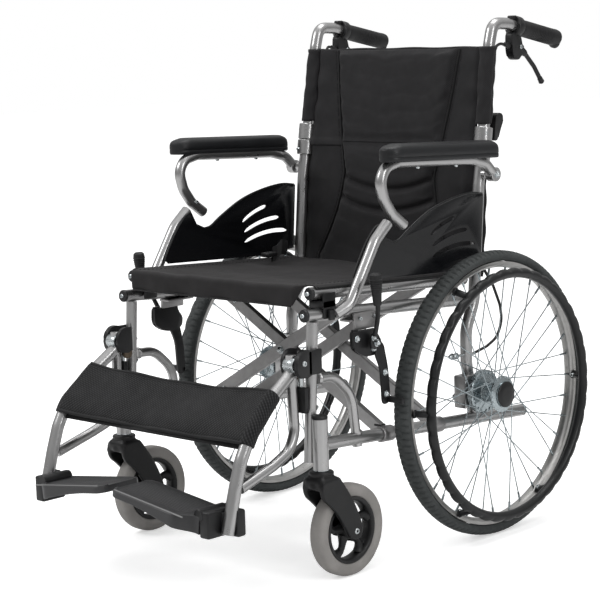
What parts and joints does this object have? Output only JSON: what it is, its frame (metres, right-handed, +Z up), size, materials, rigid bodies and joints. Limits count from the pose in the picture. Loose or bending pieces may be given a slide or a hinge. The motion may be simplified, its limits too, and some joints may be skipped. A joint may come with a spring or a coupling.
{
  "type": "manual wheelchair",
  "caption": "Folding manual wheelchair with spoked drive wheels and handrims, swivel casters, flip-back armrests, half-folding back, attendant brakes and leg rests.",
  "frame": {"origin": "on the floor, under the middle of the chair's bounding box", "axes": "+Z up, the chair faces -Y, +X is the sitter's left"},
  "size_m": [0.6498, 0.9856, 0.937],
  "materials": {
    "frame_silver": "satin silver powder coat on tube",
    "brace_grey": "satin grey coated bar",
    "spoke_steel": "zinc-plated spokes and hub",
    "rim_metal": "brushed light alloy",
    "tyre_rubber": "dark grey ribbed tyre",
    "caster_rubber": "solid warm grey tyre",
    "handrim_plastic": "black moulded ring with a wavy grip",
    "black_plastic": "black moulded plastic and painted fittings",
    "grip_rubber": "soft black rubber",
    "panel_gloss": "glossy black sheet",
    "pad_skin": "self-skinned foam, fine grain",
    "seat_fabric": "charcoal woven nylon",
    "strap_mesh": "black spacer mesh",
    "cable_black": "black cable housing"
  },
  "bodies": {
    "right_frame": {"right_front_post": "frame_silver", "right_upper_rail": "frame_silver", "right_lower_rail": "frame_silver", "right_rear_post": "frame_silver", "right_side_panel": "panel_gloss", "right_parking_brake_bracket": "black_plastic", "right_leg_hanger": "frame_silver", "right_hanger_bracket": "black_plastic", "right_hanger_foot": "black_plastic", "right_brake_cable": "cable_black", "lower_back_panel": "seat_fabric", "calf_strap": "strap_mesh"},
    "left_rail_brace": {"left_rail_brace": "brace_grey"},
    "right_rail_brace": {"right_rail_brace": "brace_grey"},
    "left_frame": {"left_front_post": "frame_silver", "left_upper_rail": "frame_silver", "left_lower_rail": "frame_silver", "left_rear_post": "frame_silver", "left_side_panel": "panel_gloss", "left_parking_brake_bracket": "black_plastic", "left_leg_hanger": "frame_silver", "left_hanger_bracket": "black_plastic", "left_hanger_foot": "black_plastic", "left_brake_cable": "cable_black"},
    "left_seat_half": {"left_seat_panel": "seat_fabric"},
    "left_caster_swivel": {"left_caster_fork": "black_plastic"},
    "left_caster_wheel": {"left_caster_tyre": "caster_rubber", "left_caster_hub": "black_plastic"},
    "left_drive_wheel": {"left_drive_tyre": "tyre_rubber", "left_drive_rim": "rim_metal", "left_hub_and_spokes": "spoke_steel", "left_handrim": "handrim_plastic"},
    "left_parking_brake_handle": {"left_parking_brake_lever": "black_plastic"},
    "left_parking_brake_arm": {"left_parking_brake_shoe": "black_plastic"},
    "left_armrest": {"left_armrest_tube": "frame_silver", "left_arm_pad": "pad_skin"},
    "left_upper_back": {"left_back_cane": "frame_silver", "left_push_grip": "grip_rubber"},
    "left_hand_lever": {"left_attendant_brake_lever": "black_plastic"},
    "left_latch": {"left_back_latch": "black_plastic"},
    "left_foot_flap": {"left_footplate": "black_plastic"},
    "right_seat_half": {"right_seat_panel": "seat_fabric"},
    "right_caster_swivel": {"right_caster_fork": "black_plastic"},
    "right_caster_wheel": {"right_caster_tyre": "caster_rubber", "right_caster_hub": "black_plastic"},
    "right_drive_wheel": {"right_drive_tyre": "tyre_rubber", "right_drive_rim": "rim_metal", "right_hub_and_spokes": "spoke_steel", "right_handrim": "handrim_plastic"},
    "right_parking_brake_handle": {"right_parking_brake_lever": "black_plastic"},
    "right_parking_brake_arm": {"right_parking_brake_shoe": "black_plastic"},
    "right_armrest": {"right_armrest_tube": "frame_silver", "right_arm_pad": "pad_skin"},
    "right_upper_back": {"right_back_cane": "frame_silver", "right_push_grip": "grip_rubber", "upper_back_panel": "seat_fabric"},
    "right_hand_lever": {"right_attendant_brake_lever": "black_plastic"},
    "right_latch": {"right_back_latch": "black_plastic"},
    "right_foot_flap": {"right_footplate": "black_plastic"}
  },
  "joints": [
    {"name": "frame_fold", "type": "hinge", "parent": "right_frame", "child": "left_rail_brace", "pos_m": [-0.228, 0.01417, 0.21786], "axis": [0, -0.9984, 0.0565], "range_deg": [0, 44], "deforming": ["left_seat_panel", "right_seat_panel", "lower_back_panel", "upper_back_panel", "calf_strap"]},
    {"name": "cross_pivot", "type": "hinge", "parent": "left_rail_brace", "child": "right_rail_brace", "pos_m": [0, 0.01417, 0.34086], "axis": [0, -0.9984, 0.0565], "range_deg": [-88, 0]},
    {"name": "left_rail_pivot", "type": "hinge", "parent": "right_rail_brace", "child": "left_frame", "pos_m": [0.228, 0.01417, 0.21786], "axis": [0, -0.9984, 0.0565], "range_deg": [0, 44]},
    {"name": "left_seat_crease", "type": "hinge", "parent": "left_rail_brace", "child": "left_seat_half", "pos_m": [0.223, 0.01417, 0.47668], "axis": [0, -0.9984, 0.0565], "range_deg": [-114, 0]},
    {"name": "middle_seat_crease", "type": "hinge", "parent": "left_seat_half", "child": "right_seat_half", "pos_m": [0, 0.01417, 0.48918], "axis": [0, -0.9984, 0.0565], "range_deg": [0, 139.5]},
    {"name": "left_caster_swivel", "type": "hinge", "parent": "left_frame", "child": "left_caster_swivel", "pos_m": [0.251, -0.22883, 0.19], "axis": [0, 0, 1], "continuous": true},
    {"name": "left_caster_roll", "type": "hinge", "parent": "left_caster_swivel", "child": "left_caster_wheel", "pos_m": [0.251, -0.17023, 0.08], "axis": [1, 0, 0], "continuous": true},
    {"name": "left_drive_roll", "type": "hinge", "parent": "left_frame", "child": "left_drive_wheel", "pos_m": [0.2746, 0.20417, 0.26], "axis": [1, 0, 0], "continuous": true},
    {"name": "left_parking_brake", "type": "hinge", "parent": "left_frame", "child": "left_parking_brake_handle", "pos_m": [0.27, -0.10283, 0.394], "axis": [-1, 0, 0], "range_deg": [0, 45]},
    {"name": "left_brake_shoe", "type": "hinge", "parent": "left_frame", "child": "left_parking_brake_arm", "pos_m": [0.261, -0.08783, 0.381], "axis": [-1, 0, 0], "range_deg": [0, 18]},
    {"name": "left_armrest_flip", "type": "hinge", "parent": "left_frame", "child": "left_armrest", "pos_m": [0.252, 0.24517, 0.654], "axis": [-1, 0, 0], "range_deg": [0, 100]},
    {"name": "left_back_fold", "type": "hinge", "parent": "left_frame", "child": "left_upper_back", "pos_m": [0.222, 0.27217, 0.707], "axis": [-1, 0, 0], "range_deg": [0, 90], "deforming": ["left_brake_cable"]},
    {"name": "left_hand_brake", "type": "hinge", "parent": "left_upper_back", "child": "left_hand_lever", "pos_m": [0.218, 0.36717, 0.882], "axis": [1, 0, 0], "range_deg": [0, 18], "stiffness_Nm_per_rad": 0.6},
    {"name": "left_latch_release", "type": "hinge", "parent": "left_upper_back", "child": "left_latch", "pos_m": [0.222, 0.28317, 0.714], "axis": [-1, 0, 0], "range_deg": [0, 22], "stiffness_Nm_per_rad": 0.4},
    {"name": "left_foot_flip", "type": "hinge", "parent": "left_frame", "child": "left_foot_flap", "pos_m": [0.205, -0.44083, 0.147], "axis": [0, 1, 0], "range_deg": [0, 90.5]},
    {"name": "right_caster_swivel", "type": "hinge", "parent": "right_frame", "child": "right_caster_swivel", "pos_m": [-0.251, -0.22883, 0.19], "axis": [0, 0, 1], "continuous": true},
    {"name": "right_caster_roll", "type": "hinge", "parent": "right_caster_swivel", "child": "right_caster_wheel", "pos_m": [-0.251, -0.17023, 0.08], "axis": [1, 0, 0], "continuous": true},
    {"name": "right_drive_roll", "type": "hinge", "parent": "right_frame", "child": "right_drive_wheel", "pos_m": [-0.2746, 0.20417, 0.26], "axis": [1, 0, 0], "continuous": true},
    {"name": "right_parking_brake", "type": "hinge", "parent": "right_frame", "child": "right_parking_brake_handle", "pos_m": [-0.27, -0.10283, 0.394], "axis": [-1, 0, 0], "range_deg": [0, 45]},
    {"name": "right_brake_shoe", "type": "hinge", "parent": "right_frame", "child": "right_parking_brake_arm", "pos_m": [-0.261, -0.08783, 0.381], "axis": [-1, 0, 0], "range_deg": [0, 18]},
    {"name": "right_armrest_flip", "type": "hinge", "parent": "right_frame", "child": "right_armrest", "pos_m": [-0.252, 0.24517, 0.654], "axis": [-1, 0, 0], "range_deg": [0, 100]},
    {"name": "right_back_fold", "type": "hinge", "parent": "right_frame", "child": "right_upper_back", "pos_m": [-0.222, 0.27217, 0.707], "axis": [-1, 0, 0], "range_deg": [0, 90], "deforming": ["right_brake_cable"]},
    {"name": "right_hand_brake", "type": "hinge", "parent": "right_upper_back", "child": "right_hand_lever", "pos_m": [-0.218, 0.36717, 0.882], "axis": [1, 0, 0], "range_deg": [0, 18], "stiffness_Nm_per_rad": 0.6},
    {"name": "right_latch_release", "type": "hinge", "parent": "right_upper_back", "child": "right_latch", "pos_m": [-0.222, 0.28317, 0.714], "axis": [-1, 0, 0], "range_deg": [0, 22], "stiffness_Nm_per_rad": 0.4},
    {"name": "right_foot_flip", "type": "hinge", "parent": "right_frame", "child": "right_foot_flap", "pos_m": [-0.205, -0.44083, 0.147], "axis": [0, -1, 0], "range_deg": [0, 90.5]}
  ],
  "couplings": [
    {"joint": "cross_pivot", "follows": "frame_fold", "ratio": -2},
    {"joint": "left_rail_pivot", "follows": "frame_fold", "ratio": 1},
    {"joint": "left_seat_crease", "follows": "frame_fold", "ratio": -2.5795},
    {"joint": "middle_seat_crease", "follows": "frame_fold", "ratio": 3.159},
    {"joint": "left_brake_shoe", "follows": "left_parking_brake", "ratio": 0.4},
    {"joint": "left_foot_flip", "follows": "frame_fold", "ratio": 1.95},
    {"joint": "right_brake_shoe", "follows": "right_parking_brake", "ratio": 0.4},
    {"joint": "right_foot_flip", "follows": "frame_fold", "ratio": 1.95},
    {"joint": "left_back_fold", "follows": "right_back_fold", "ratio": 1}
  ]
}
